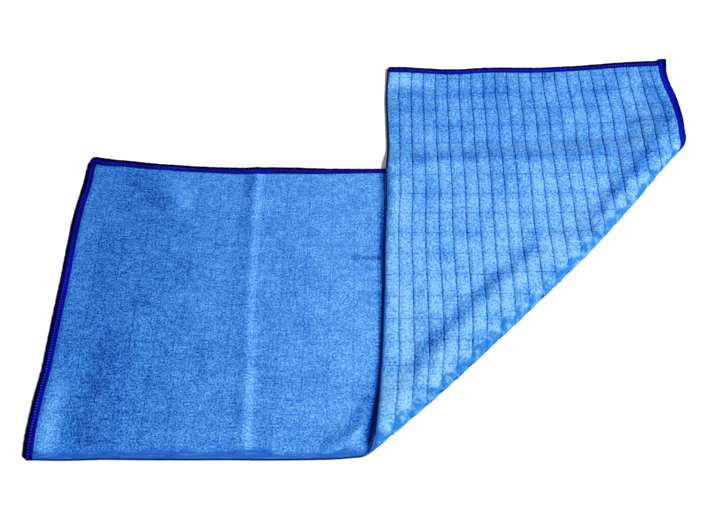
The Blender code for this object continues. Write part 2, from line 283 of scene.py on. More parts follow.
UPPER_PATCHES = [
    # Broad patches: partly the lie of the pile, partly painted light and shade over the upper layer
    (60, 90, (400, 0, 0.1), (400, 250, 0.1)),
    (45, 60, (570, 0, -0.06), (570, 250, -0.06)),
    # Painted highlight where the upper layer's far edge lifts
    (8, 8, (594, 8, 0.3), (593, 36, 0.24), (594, 56, 0.04)),
    # Painted shade along the slope where the upper layer drops past the lower layer's far edge
    (5, 12, (476, 2, -0.04), (485, 11, -0.09), (493, 21, -0.13), (500, 36, -0.16), (502, 66, -0.13),
     (502, 105, -0.13), (504, 180, -0.12)),
    (16, 30, (590, 50, -0.03), (560, 14, -0.07), (520, 10, -0.04)),
    (14, 14, (545, 232, -0.03), (578, 234, -0.08), (590, 242, -0.08)),
    (5, 5, (434, 165, 0.12), (464, 196, 0.16), (494, 226, 0.14), (508, 238, 0.04)),
    (22, 22, (590, 92, -0.1), (545, 85, -0.08), (520, 80, -0.04)),
    (22, 22, (445, 32, -0.07), (440, 12, -0.07), (398, 12, -0.07)),
    (16, 16, (425, 142, 0.04), (410, 132, 0.04)),
    (14, 14, (476, 70, 0.06), (455, 64, 0.07)),
    (14, 14, (350, 27, 0.06), (372, 42, 0.07)),
    (5, 13, (490, 9, 0.17), (460, 9, 0.21), (430, 9, 0.17), (330, 9, 0.2)),
    (11, 11, (481, 152, 0.08), (463, 150, 0.07)),
    (10, 10, (479, 186, 0.11), (477, 194, 0.1)),
    (10, 10, (602, 68, -0.08), (594, 68, -0.06)),
    (9, 9, (432, 44, -0.07), (408, 44, -0.07)),
    (10, 10, (390, 90, -0.04), (387, 108, -0.07)),
    (20, 20, (330, 26, 0.05), (290, 8, 0.08)),
    # Painted shade along the rounded rim of the plain edge
    (2.4, 2.4, (500, 3, -0.08), (470, 4, -0.25), (440, 3.5, -0.22), (410, 2, -0.05)),
    # Painted shade along the trough where the upper layer comes down behind the roll
    (6, 5, (301, 19, -0.16), (313, 22, -0.24), (332, 33, -0.27), (348, 48, -0.26), (365, 62, -0.26),
     (385, 84, -0.26), (397, 99, -0.24), (412, 113, -0.2), (428, 119, -0.14)),
    (5, 6, (424, 156, -0.08), (437, 163, -0.18), (451, 174, -0.24), (470, 190, -0.28), (484, 203, -0.28),
     (504, 215, -0.26), (522, 228, -0.22), (548, 240, -0.12)),
    # Painted light on the ribs near the roll, and painted shade between them
    (5, 5, (322, 47, 0.12), (306, 42, 0.18)),
    (4, 4, (316, 6, 0.08), (300, 8, 0.14), (280, 10, 0.2)),
    (4, 4, (300, 16, 0.12), (286, 18, 0.18)),
    (3, 4, (330, 24, -0.1), (312, 25, -0.2), (294, 27, -0.22)),
    (3, 3, (330, 37, -0.1), (314, 36, -0.1)),
    (9, 9, (300, 18, 0.14), (345, 62, 0.18), (385, 100, 0.18), (415, 130, 0.14), (440, 158, 0.06)),
]

# The stage. Each lamp is a disk, with its place, its size and its power, and points at the middle. The
# camera was fitted to the outline and the ribs: its place, what it points at and its roll
FLOOR_LEVEL = -0.1 * MM
WORLD_LIGHT = 0.10
LAMPS = (("key", (2.2, -1.3, 3.5), 0.9, 242.0), ("top", (-0.2, 0.4, 2.2), 0.8, 9.0))
CAMERA_LENS = 36.98
CAMERA_PLACE = (0.0084, -0.3094, 0.4936)
CAMERA_AIM = (-0.0220, -0.0271, 0.0)
CAMERA_ROLL = np.radians(-6.53)


def linear(code):
    """A colour of the sRGB hex code as linear red, green and blue."""
    part = np.array([int(code[place:place + 2], 16) for place in (1, 3, 5)]) / 255
    return tuple(np.where(part <= 0.04045, part / 12.92, ((part + 0.055) / 1.055) ** 2.4))


def size_property(name, description, default, low, high):
    """A size that a user may change, given in millimetres."""
    return FloatProperty(name=name, description=description, default=default * MM, min=low * MM,
                         max=high * MM, subtype="DISTANCE")


def colour_property(name, description, code):
    """A colour that a user may change, given as its sRGB hex code."""
    return FloatVectorProperty(name=name, description=description, default=linear(code), min=0.0, max=1.0,
                               subtype="COLOR")


class ClothSizes(bpy.types.PropertyGroup):
    """Sizes of the cloth's two faces and creases."""
    rib_pitch: size_property("Rib Pitch", "Distance between two grooves of the ribbed face", 10.67, 4, 20)
    first_groove: size_property("First Groove", "First groove's distance from the plain edge", 11.6, 10, 16)
    groove_count: IntProperty(name="Grooves", description="Number of grooves", default=22, min=1, max=60)
    groove_depth: size_property("Groove Depth", "Depth of a groove in the ribbed pile", 0.8, 0, 1.3)
    groove_reach: size_property("Groove Reach", "How far a groove's sides reach", 0.42, 0.3, 2)
    cell_length: size_property("Cell Length", "Distance between two faint lines across a rib", 18.6, 5, 40)
    cell_rise: size_property("Cell Rise", "How far a rib stands up between two faint lines", 0.12, 0, 1)
    lump_height: size_property("Pile Lumps", "Height of the small lumps in the pile", 0.18, 0, 0.6)
    wave_height: size_property("Waves", "Height of the broad waves the cloth lies in", 0.9, 0, 3)
    crease_height: size_property("Crease Height", "Height of the crease left by packing", 1.8, 0, 4)


class EdgingSizes(bpy.types.PropertyGroup):
    """Sizes of the overlocked edging."""
    loop_reach: size_property("Loop Reach", "How far each stitch's loop reaches onto the pile", 0.45, 0, 1)
    stitch_pitch: size_property("Stitch Pitch", "Distance between two overlock stitches", 2.06, 1, 5)
    needle_inset: size_property("Needle Row", "Needle row's distance in from the outer edge", 3.5, 2, 5)
    stand_out: size_property("Stand Out", "How far the thread stands out past the edge", 0.6, 0, 1.5)
    thread_relief: size_property("Thread Relief", "How far the wound threads stand up", 0.14, 0, 0.4)
    top_height: size_property("Top Height", "Edging's height over the cloth's middle", 1.75, 1, 3)
    under_height: size_property("Under Height", "Edging's depth under the cloth's middle", 1.4, 1, 1.5)


class ClothColours(bpy.types.PropertyGroup):
    """Colours of the pile and the threads."""
    # The pile's ramp, from ground through shaded and lit pile to the tips, carries the lie of the pile and
    # the painted light and shade of its patches
    ground: colour_property("Ground", "Ground knit at the foot of the pile", "#06308A")
    shaded: colour_property("Shaded Pile", "Pile that lies away from the eye", "#296DC2")
    lit: colour_property("Lit Pile", "Pile that stands up", "#4E90D6")
    tips: colour_property("Pile Tips", "Split ends of the fibres, palest where they fray", "#86BEEE")
    opened: colour_property("Opened Pile", "Pile that the roll's bend has opened", "#166CBC")
    # Pressed pile, darker also as painted shade on the plain edge's rounded rim
    pressed_and_painted_shade: colour_property("Pressed Pile and Painted Shade", "Pile that the cut edge has pressed flat", "#144EAC")
    # Cut edge: the ground knit, darker as painted shade on the edge's shaded side
    cut: colour_property("Cut Edge and Painted Shade", "Ground knit at the plain cut edge", "#0A1640")
    looper: colour_property("Looper Thread", "Thread that covers the edge", "#0516D0")
    # The thread's dark colour: painted shade between the windings, over the edging's outer edge and where
    # the wound thread's tone is low
    shadow: colour_property("Painted Thread Shade", "Looper thread deep between the windings", "#000030")
    needle: colour_property("Needle Thread", "Thread of the straight row of stitches", "#5A60E8")


def smooth(part):
    """Ease from 0 to 1: three times the square less twice the cube of the part, held at both ends."""
    part = np.clip(part, 0.0, 1.0)
    return part * part * (3 - 2 * part)


def bell(away, reach):
    """A bell of the distance away, as high as 1 in its middle."""
    return np.exp(-(away / reach) ** 2)


def quarter(part):
    """Height of a quarter ellipse at a part of its width."""
    return np.sqrt(1 - np.clip(1 - part, 0, 1) ** 2)


def along(rows, at):
    """A smooth curve through a table's rows: a cubic between each two, with the rows' mean slopes."""
    place, offset = np.array(rows, dtype=float).T * MM
    slope = np.gradient(offset, place)
    at = np.clip(at, place[0], place[-1])
    index = np.clip(np.searchsorted(place, at) - 1, 0, len(rows) - 2)
    span = place[index + 1] - place[index]
    part = (at - place[index]) / span
    rise = offset[index + 1] - offset[index]
    return (offset[index] + rise * smooth(part)
            + slope[index] * span * part * (1 - part) ** 2
            - slope[index + 1] * span * part ** 2 * (1 - part))


def between(rows, at, column=1):
    """Straight lines through a column of a table, by the place in its first column."""
    table = np.array(rows)
    return np.interp(at / MM, table[:, 0], table[:, column])


def noise(column, row, seed):
    """Smooth noise from -1 to 1: a random value at each whole column and row, eased between them."""
    left, low = np.floor(column).astype(int), np.floor(row).astype(int)
    values = np.random.default_rng(seed).uniform(-1, 1, (NOISE_VALUES, NOISE_VALUES))
    across, up = smooth(column - left), smooth(row - low)
    corners = [values[(left + right) % NOISE_VALUES, (low + top) % NOISE_VALUES]
               for top in (0, 1) for right in (0, 1)]
    lower = corners[0] + (corners[1] - corners[0]) * across
    upper = corners[2] + (corners[3] - corners[2]) * across
    return lower + (upper - lower) * up


def mottle(name, u, v=0.0):
    """The noise of that name, at a place on the strip or along an edge."""
    return sum(share * noise(u / (size * MM), v / (size * MM), seed) for share, size, seed in NOISES[name])


def bells(lines, u, v):
    """Sum of soft features: each is a bell of the distance to its line, with its own reach on either side,
    as strong as the nearest place on the line."""
    total = np.zeros(np.shape(u))
    for left, right, *points in lines:
        nearest, side, strength = np.full(np.shape(u), np.inf), total * 0, total * 0
        for (start_u, start_v, first), (end_u, end_v, last) in zip(points[:-1], points[1:]):
            way_u, way_v = (end_u - start_u) * MM, (end_v - start_v) * MM
            from_u, from_v = u - start_u * MM, v - start_v * MM
            part = np.clip((from_u * way_u + from_v * way_v) / (way_u ** 2 + way_v ** 2), 0, 1)
            away = np.hypot(from_u - part * way_u, from_v - part * way_v)
            closer = away < nearest
            nearest = np.where(closer, away, nearest)
            side = np.where(closer, way_u * from_v - way_v * from_u, side)
            strength = np.where(closer, first + (last - first) * part, strength)
        total += strength * bell(nearest, np.where(side > 0, left, right) * MM)
    return total


def fit_bands(u, v):
    """Widen or narrow the edging on each side to its true width: distances in from the edge are scaled up
    to the edging's inner edge and are true again from the width fade on."""
    def fitted(inset, width):
        inner = inset * width / BAND_WIDTH
        outer = width + (inset - BAND_WIDTH) * (WIDTH_FADE - width) / (WIDTH_FADE - BAND_WIDTH)
        return np.where(inset < BAND_WIDTH, inner, np.where(inset < WIDTH_FADE, outer, inset))
    return (fitted(STRIP_LENGTH - fitted(STRIP_LENGTH - u, END_WIDTH), LEFT_WIDTH),
            STRIP_WIDTH - fitted(STRIP_WIDTH - v, along(LONG_WIDTH, u)))


def uneven(u, v):
    """Move a point of the true rectangle with the uneven edges, in proportion to how near it is to each."""
    across = v / STRIP_WIDTH
    left = 1 - smooth(u / END_FADE)
    right = 1 - smooth((STRIP_LENGTH - u) / END_FADE)
    moved_v = v + (1 - across) * along(PLAIN_EDGE, u) + across * along(BOUND_EDGE, u)
    moved_u = u + left * along(LEFT_END, v) + right * along(RIGHT_END, v)
    return moved_u, moved_v


def past_fold(u, v):
    """Distance past the fold line, square to it."""
    return (u - FOLD_START) * np.sin(FOLD_ANGLE) - v * np.cos(FOLD_ANGLE)


def from_bound(u, v):
    """Distance in from the nearest bound edge."""
    return np.minimum(np.minimum(u, STRIP_LENGTH - u), STRIP_WIDTH - v)


def upper_level(x, y):
    """Height of the upper layer's middle: on the lower layer, a little more over its far edge, then down."""
    past_edge = y - (STRIP_WIDTH + along(BOUND_EDGE, x))
    risen = smooth((past_edge + EDGE_RISE_BEFORE + EDGE_RISE_LENGTH) / EDGE_RISE_LENGTH)
    dropped = smooth((past_edge - DROP_START) / DROP_LENGTH)
    return (1.5 * THICKNESS + LAYER_GAP + (EDGE_CLEARANCE - LAYER_GAP) * risen
            - (THICKNESS + EDGE_CLEARANCE) * dropped)


def relief(u, v):
    """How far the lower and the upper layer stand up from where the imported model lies: the packing crease,
    which grows towards the far edge and fades just before both edges, the soft folds and the broad waves.
    The lower layer never sinks, and the upper one hardly."""
    sizes = bpy.context.scene.cloth_sizes
    past_crease = u - along(CREASE_LINE, v)
    grown = CREASE_FRONT + (1 - CREASE_FRONT) * smooth(v / STRIP_WIDTH)
    fade = 1 - (1 - CREASE_END) * smooth(1 - (STRIP_WIDTH - v) / CREASE_END_FADE)
    fade = fade * smooth(v / CREASE_FRONT_FADE)
    reach = np.where(past_crease < 0, *CREASE_SIDES)
    crease = sizes.crease_height * grown * fade * bell(past_crease, reach)
    waves = sizes.wave_height * (0.5 + mottle("waves", u, v))
    waves = waves * smooth(from_bound(u, v) / WAVE_INSET) * smooth(v / WAVE_FRONT)
    lower = crease + bells(LOWER_FOLDS, u, v) * MM + waves
    upper = bells(UPPER_FOLDS, u, v) * MM + waves
    return np.maximum(lower, 0), np.maximum(upper, -0.5 * MM)


def lay(u, v, w):
    """Place of a point of the strip as it lies.

    Measured square to the fold line, a point before the fold stays in the table's plane. One inside the
    roll goes round a half circle of the roll's radius less w. One past it runs back over the lower layer,
    at a height that eases from the roll's top to the upper layer's level. The relief is added upwards, and
    nothing goes below the table.
    """
    lower_relief, upper_relief = relief(u, v)
    u, v = uneven(*fit_bands(u, v))
    cosine, sine = np.cos(FOLD_ANGLE), np.sin(FOLD_ANGLE)
    along_fold = (u - FOLD_START) * cosine + v * sine
    half_roll = np.pi * ROLL_RADIUS / 2
    into_roll = past_fold(u, v) + half_roll
    turn = np.clip(into_roll / ROLL_RADIUS, 0.0, np.pi)
    back = np.maximum(into_roll - np.pi * ROLL_RADIUS, 0.0)
    before = np.maximum(-into_roll, 0.0)
    out = (ROLL_RADIUS - w) * np.sin(turn) - half_roll - before - back
    near_roll = bell(before, SHIFT_REACH_BEFORE) * bell(back, SHIFT_REACH_AFTER)
    shift = along(FOLD_SHIFT, along_fold) * near_roll
    x = FOLD_START + along_fold * cosine + out * sine + shift
    y = along_fold * sine - out * cosine
    roll_top = THICKNESS / 2 + 2 * ROLL_RADIUS
    height = THICKNESS / 2 + ROLL_RADIUS - (ROLL_RADIUS - w) * np.cos(turn)
    fallen = smooth((back - along(FALL_MIDDLE, along_fold)) / (2 * along(FALL_HALF, along_fold)) + 0.5)
    fallen = fallen * smooth(back / FALL_EASE)
    height = height - (roll_top - upper_level(x, y)) * fallen
    height = height + lower_relief * smooth(before / RELIEF_EASE) + upper_relief * smooth(back / RELIEF_EASE)
    return np.stack([x - PLAN_CENTRE[0], y - PLAN_CENTRE[1], np.maximum(height, 0.0)], axis=-1)


def add_piece(name, points, faces, materials, slot, *nodes):
    """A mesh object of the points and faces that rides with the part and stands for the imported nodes."""
    mesh = bpy.data.meshes.new(name)
    mesh.from_pydata(points.reshape(-1, 3), [], faces)
    mesh.shade_smooth()
    for material in materials:
        mesh.materials.append(material)
    piece = bpy.data.objects.new(name, mesh)
    bpy.context.scene.collection.objects.link(piece)
    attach(piece, "root")
    if nodes:
        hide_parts(*nodes)
    return piece


def give_values(mesh, name, *values):
    """Store a number a point on the mesh, or the three of a vector, for its materials to read."""
    kind, field = ("FLOAT_VECTOR", "vector") if len(values) == 3 else ("FLOAT", "value")
    stacked = np.stack(np.broadcast_arrays(*values), axis=-1)
    mesh.attributes.new(name, kind, "POINT").data.foreach_set(field, stacked.ravel())


def grid_faces(index):
    """Four-sided faces between the neighbours of each grid of point numbers."""
    left, right = index[..., :-1], index[..., 1:]
    corners = left[..., :-1, :], right[..., :-1, :], right[..., 1:, :], left[..., 1:, :]
    return np.stack(corners, axis=-1).reshape(-1, 4)


def cloth_grid():
    """Places along and across the strip of the cloth's points. Rows run along the grooves, three to each
    side of one and one between two. Columns are straight over what shows of the left part, then lean over
    to follow the roll, and straighten again towards the far end."""
    sizes = bpy.context.scene.cloth_sizes
    grooves = sizes.first_groove + sizes.rib_pitch * np.arange(sizes.groove_count)
    ribs = np.concatenate([(grooves[:, None] + GROOVE_ROWS).ravel(), grooves[:-1] + sizes.rib_pitch / 2])
    cut = np.array(CUT_EDGE)[:, 0] * MM
    held = np.concatenate([[RIM_INSET], np.array(HELD_EDGE)[:, 0] * MM])
    v = np.sort(np.concatenate([cut[cut < ribs.min() - 0.5 * MM], ribs, STRIP_WIDTH - held]))
    middle = FOLD_START + v / np.tan(FOLD_ANGLE)
    half_roll = np.pi * ROLL_RADIUS / 2 / np.sin(FOLD_ANGLE)
    before, after = middle - half_roll, middle + half_roll
    stops = [np.full(len(v), held[-1]), np.minimum(STRAIGHT_END, before - BEFORE_ROLL), before, after,
             np.full(len(v), STRIP_LENGTH - held[-1])]
    counts = (STRAIGHT_COLUMNS, HIDDEN_COLUMNS, ROLL_COLUMNS, UPPER_COLUMNS)
    blocks = [np.linspace(first, last, count, endpoint=False, axis=-1)
              for first, last, count in zip(stops[:-1], stops[1:], counts)]
    left = np.tile(held[:-1], (len(v), 1))
    right = np.tile(STRIP_LENGTH - held[::-1], (len(v), 1))
    u = np.concatenate([left, *blocks, right], axis=1)
    return u, np.broadcast_to(v[:, None], u.shape)


def half_thickness(u, v):
    """Half the cloth's thickness: rounded at the plain edge, thin where the edging holds its rim."""
    return np.minimum(between(CUT_EDGE, v), between(HELD_EDGE, from_bound(u, v))) * MM


def past_roll_edge(u, v):
    """Distance past the roll's outer line, as the camera sees it."""
    return past_fold(u, v) - between(ROLL_EDGE, v) * MM


def cell_tone(u, v):
    """How much lighter the pile of the ribbed face is coloured in one place than another: smooth noise a
    cell in size, and a wave either way that is highest in the middle of each cell. Both grow towards the
    roll, which spreads the ribs. The pile frays lighter along the band that the bend opens, and painted
    shade darkens the roll's outer line."""
    sizes = bpy.context.scene.cloth_sizes
    share, seed = CELL_NOISE
    cell, rib = u / sizes.cell_length, (v - sizes.first_groove) / sizes.rib_pitch - 0.5
    uneven_cells = share * noise(cell, rib, seed)
    crests = 0.04 * np.cos(2 * np.pi * rib) - 0.03 * np.cos(2 * np.pi * cell)
    # Painted shade along the roll's outer line, where the roll turns under
    outline = between(ROLL_OUTLINE_SHADE, v) * bell(past_roll_edge(u, v) + 1.8 * MM, 2.4 * MM)
    frayed = between(FRAYED_LIGHT, v) * bell(past_opened(u, v) - 1.2 * MM, 1.2 * MM)
    return (uneven_cells + crests) * (1 + 0.6 * bell(past_fold(u, v), 26 * MM)) + frayed - outline


def ribbed_depth(u, v):
    """How deep the ribbed face lies under its pile's full height: a narrow bell at each groove, a rib that
    rounds off towards it, and a long wave between the faint cross lines. On the roll the grooves open, so
    they are less deep there and the ribs rounder."""
    sizes = bpy.context.scene.cloth_sizes
    nearest = np.clip(np.round((v - sizes.first_groove) / sizes.rib_pitch), 0, sizes.groove_count - 1)
    aside = np.abs(v - sizes.first_groove - sizes.rib_pitch * nearest)
    on_roll = bell(past_fold(u, v), 9 * MM)
    depth = sizes.groove_depth * (1 + mottle("grooves", u, v)) * (1 - 0.6 * on_roll)
    groove = depth * bell(aside, sizes.groove_reach)
    crown = (0.15 + 0.20 * on_roll) * MM * (1 - smooth(aside / ((3.6 + 1.7 * on_roll) * MM)))
    cells = sizes.cell_rise * (0.5 + 0.5 * np.cos(2 * np.pi * u / sizes.cell_length))
    return groove + crown + cells


def past_opened(u, v):
    """Distance past the band that the roll's bend has opened. The band is scalloped, widest just past each
    groove, because a rib's pile reaches furthest into it along the rib's far side."""
    sizes = bpy.context.scene.cloth_sizes
    scallop = 0.5 + 0.5 * np.cos(2 * np.pi * (v - sizes.first_groove - 2.4 * MM) / sizes.rib_pitch)
    width = between(OPENED_WIDTH, v) + between(OPENED_SCALLOP, v) * scallop + mottle("opened", u, v)
    return past_fold(u, v) - width * MM


def opened_pile(u, v):
    """Where the roll's bend has opened the pile, from 0 to 1."""
    return (COVER * smooth(0.5 - past_opened(u, v) / (2.2 * MM))
            * smooth(past_roll_edge(u, v) / (1.8 * MM)))


def pressed_pile_and_painted_shade(u, v, reaches):
    """Where the pile beside the plain edge is pressed flat, and darkened as painted shade on its rounded
    rim, from 0 to 1, with a ragged border.
    """
    reach = between(reaches, u) * MM
    return COVER - COVER * smooth((v - 0.6 * reach) / (0.4 * reach) + mottle("pressed_and_painted_shade", u, v))


class ClothOperator:
    """What the three operators share: each can be undone."""
    bl_options = {"REGISTER", "UNDO"}


class Surface:
    """A material with its Principled shader, and short ways to add the nodes that feed it."""

    def __init__(self, name, roughness, specular, sheen, sheen_tint):
        self.material = bpy.data.materials.new(name)
        self.material.use_nodes = True
        self.tree = self.material.node_tree
        self.inputs = self.tree.nodes["Principled BSDF"].inputs
        for socket, value in (("Roughness", roughness), ("Specular IOR Level", specular),
                              ("Sheen Weight", sheen), ("Sheen Tint", (*sheen_tint, 1.0))):
            self.inputs[socket].default_value = value

    def node(self, kind, inputs, output=0, **properties):
        """An output of a new node, whose inputs are plain values or other nodes' outputs."""
        node = self.tree.nodes.new(kind)
        for name, value in properties.items():
            setattr(node, name, value)
        for socket, value in inputs.items():
            if isinstance(value, bpy.types.NodeSocket):
                self.tree.links.new(value, node.inputs[socket])
            else:
                node.inputs[socket].default_value = value
        return node.outputs[output]

    def stored(self, name, output="Fac"):
        """The values of that name on the mesh's points."""
        return self.node("ShaderNodeAttribute", {}, output, attribute_name=name)

    def maths(self, operation, *values):
        """The result of an operation on numbers or other nodes' outputs."""
        return self.node("ShaderNodeMath", dict(enumerate(values)), operation=operation)

    def ranged(self, value, low, high, first=0.0, last=1.0, ease="LINEAR"):
        """A value from low to high carried over to one from first to last."""
        limits = {"From Min": low, "From Max": high, "To Min": first, "To Max": last}
        return self.node("ShaderNodeMapRange", {"Value": value} | limits, interpolation_type=ease)

    def mix(self, factor, one, other):
        """A colour between two."""
        colours = {"Factor": factor, "A": one, "B": other}
        return self.node("ShaderNodeMix", colours, "Result", data_type="RGBA")

    def grain(self, place, length, width=None, detail=2.0, roughness=0.5):
        """Noise from 0 to 1, of one length and width, or as large every way where no width is given."""
        if width:
            scale = (1 / length, 1 / width, 0)
            place, length = self.node("ShaderNodeMapping", {"Vector": place, "Scale": scale}), 1.0
        inputs = {"Vector": place, "Scale": 1 / length, "Detail": detail, "Roughness": roughness}
        return self.node("ShaderNodeTexNoise", inputs, "Fac")

    def finish(self, colour, height, strength, distance):
        """The material, with its colour and a bump from the height."""
        bump = {"Height": height, "Strength": strength, "Distance": distance}
        self.tree.links.new(colour, self.inputs["Base Color"])
        self.tree.links.new(self.node("ShaderNodeBump", bump), self.inputs["Normal"])
        return self.material


def cut_edge_and_shade_material(name):
    """The ground knit where it is cut and melted at the plain edge: matt, dark and a little uneven. Its dark
    colour also stands as painted shade on the edge's shaded side.
    """
    ground = bpy.context.scene.cloth_colours.cut
    lighter = [min(1.0, 2.2 * part) for part in ground]
    surface = Surface(name, 0.9, 0.05, 0.0, ground)
    knit = surface.grain(surface.stored("strip", "Vector"), 1.5 * MM)
    return surface.finish(surface.mix(knit, (*ground, 1), (*lighter, 1)), knit, 0.4, 0.3 * MM)


def pile_material(name, grain_size, groove_strength, line_strength, first_line):
    """Split microfibre pile, knitted in loops and brushed: matt, with a soft sheen. Tufts 1.4 to 1.7 mm
    apart give the grain, and the lie of the pile, with painted light and shade, gives lighter and darker
    patches. A deep colour at the foot of the pile shows in the grooves, where it also stands as painted
    shade, and in the faint lines across them, and pale frayed tips on the crests. The knit's wales and
    courses streak it along and across."""
    sizes, colours = bpy.context.scene.cloth_sizes, bpy.context.scene.cloth_colours
    surface = Surface(name, 0.95, 0.06, 0.08, colours.lit)
    strip, share = surface.stored("strip", "Vector"), surface.stored("lie_and_painted_light")
    grains = []
    for length, width, detail, roughness, strength in (
            (grain_size, None, 2.5, 0.7, 2.0),
            (5 * MM, None, 2.0, 0.5, 0.5),
            (22 * MM, None, 2.0, 0.5, 0.35),
            (14 * MM, 1.1 * MM, 2.0, 0.5, 0.3),
            (1.2 * MM, 11 * MM, 2.0, 0.5, 0.3)):
        grains.append(surface.grain(strip, length, width, detail, roughness))
        centred = surface.maths("SUBTRACT", grains[-1], 0.5)
        share = surface.maths("MULTIPLY_ADD", centred, strength, share)
    tufts, clumps, _, wales, _ = grains
    # Darker lines at the grooves and across the ribs: the deep foot of the pile, and at the grooves also
    # painted shade
    for axis, pitch, first, reach, strength in (
            ("Y", sizes.rib_pitch, sizes.first_groove, sizes.groove_reach, groove_strength),
            ("X", sizes.cell_length, first_line, 0.4 * MM, line_strength)):
        place = surface.node("ShaderNodeSeparateXYZ", {0: strip}, axis)
        moved = surface.maths("ADD", place, pitch / 2 - first)
        wrapped = surface.maths("FLOORED_MODULO", moved, pitch)
        aside = surface.maths("ABSOLUTE", surface.maths("SUBTRACT", wrapped, pitch / 2))
        line = surface.ranged(aside, 0.3 * reach, 1.7 * reach, 2 * strength, 0.0, "SMOOTHSTEP")
        share = surface.maths("SUBTRACT", share, surface.maths("MULTIPLY", line, clumps))
    # The ramp turns the lie of the pile and its painted light and shade into colour
    colour = surface.node("ShaderNodeValToRGB", {"Fac": share}, "Color")
    ramp = colour.node.color_ramp.elements
    stops = ((0.0, colours.ground), (0.3, colours.shaded), (0.6, colours.lit), (1.0, colours.tips))
    while len(ramp) < len(stops):
        ramp.new(0.5)
    for element, (position, stop) in zip(ramp, stops):
        element.position, element.color = position, (*stop, 1)
    # Opened pile, and pressed pile with its painted shade on the plain edge's rounded rim, over the ramp's
    # colour
    for where, patches, low, high, flat, light in (
            ("opened", clumps, 0.5, 0.85, colours.opened, colours.tips),
            ("pressed_and_painted_shade", wales, 0.5, 1.05, colours.pressed_and_painted_shade, colours.lit)):
        shade = surface.mix(surface.ranged(patches, low, high), (*flat, 1), (*light, 1))
        colour = surface.mix(surface.stored(where), colour, shade)
    return surface.finish(colour, tufts, 0.6, 0.6 * MM)


class OBJECT_OT_lay_microfibre_cloth(ClothOperator, bpy.types.Operator):
    """Lay the cloth, plush up on the left and ribs up on the right"""
    bl_idname = "object.lay_microfibre_cloth"
    bl_label = "Lay Cloth"

    def execute(self, context):
        plush = pile_material("microfibre, brushed plush", 1.35 * MM, 0.06, 0.12, 8.6 * MM)
        ribbed = pile_material("microfibre, ribbed pile", 1.7 * MM, 0.40, 0.18, 0.0)
        ground = cut_edge_and_shade_material("microfibre cut edge, ground knit and painted shade")
        u, v = cloth_grid()
        inside = smooth(v / WANDER_FRONT) * smooth((STRIP_WIDTH - v) / WANDER_INSET)
        wandered = v + inside * MM * (mottle("wander", u, v) + bells(KNIT_DRIFT, u, v))
        half = half_thickness(u, v)
        lumps = context.scene.cloth_sizes.lump_height * mottle("lumps", u, v)
        free = smooth((half - PILE_FROM) / PILE_EASE)
        plush_side = lay(u, wandered, half + lumps * free)
        ribbed_side = lay(u, wandered, (ribbed_depth(u, v) - lumps) * free - half)
        index = np.arange(2 * u.size).reshape(2, *u.shape)
        faces = [grid_faces(index[0]), grid_faces(index[1])[:, ::-1]]
        outline = np.stack([np.concatenate([side[0], side[1:, -1], side[-1, -2::-1], side[-2:0:-1, 0]])
                            for side in index])
        following = np.roll(outline, -1, axis=1)
        faces.append(np.stack([outline[1], following[1], following[0], outline[0]], axis=-1))
        piece = add_piece("microfibre_cloth", np.stack([plush_side, ribbed_side]), np.concatenate(faces),
                          (plush, ribbed, ground), "microfibre", "cloth")
        piled = (u > PILED_END[0]) & (u < PILED_END[1])
        # The dark cut edge: the ground knit, and painted shade on the edge's shaded side, twice as wide on
        # the ribs far along the strip
        dark_edge_reach = np.where(piled, 0.0, CUT_REACH)
        kinds = [np.where((v < reach)[:-1, :-1].ravel(), 2, kind)
                 for kind, reach in ((0, dark_edge_reach), (1, dark_edge_reach * (1 + (u > SHADED_EDGE_FROM))))]
        kinds.append(np.where((piled & (v < CUT_REACH)).ravel()[outline[0]], 0, 2))
        piece.data.polygons.foreach_set("material_index", np.concatenate(kinds).astype(np.int32))
        give_values(piece.data, "strip", [u, u], [v, v], 0.0)
        give_values(piece.data, "opened", [opened_pile(u, v)] * 2)
        # The pressed band beside the plain edge, also painted shade on its rounded rim
        pressed_and_painted_shade = [pressed_pile_and_painted_shade(u, v, reaches) for reaches in (PLUSH_PRESSED_AND_SHADE, RIBBED_PRESSED_AND_SHADE)]
        give_values(piece.data, "pressed_and_painted_shade", pressed_and_painted_shade)
        # Each face's lie, with the painted light and shade of its patches and of the roll's outline
        give_values(piece.data, "lie_and_painted_light", [PLUSH_TONE + bells(LOWER_PATCHES, u, v),
                                        RIBBED_TONE + cell_tone(u, v) + bells(UPPER_PATCHES, u, v)])
        return {"FINISHED"}


def band_height(height, inset):
    """The edging's height at a distance in from its outer edge: a quarter ellipse up to its top, and an ease
    down to its inner edge."""
    over = height * quarter(inset / BAND_NOSE)
    down = smooth((inset - BAND_NOSE) / (BAND_WIDTH - BAND_NOSE))
    return over + (min(BAND_SUNK, height) - height) * down


def band_profile(sizes):
    """The edging's section, as distance in from the outer edge and height: its top from the inner edge out,
    its underside back in, and a channel inside that holds the cloth's rim."""
    angle = np.radians([8, 25, 45, 65, 90])
    inset = np.concatenate([BAND_NOSE * (1 - np.cos(angle)), np.linspace(BAND_NOSE, BAND_WIDTH, 6)[1:]])
    top = np.stack([inset, band_height(sizes.top_height, inset)], axis=-1)
    under = np.stack([inset, -band_height(sizes.under_height, inset)], axis=-1)
    half, deep = 0.6 * MM, 0.9 * MM
    channel = np.array([(BAND_WIDTH, -half), (deep, -half), (deep, half), (BAND_WIDTH, half)])
    return np.concatenate([top[::-1], under, channel])


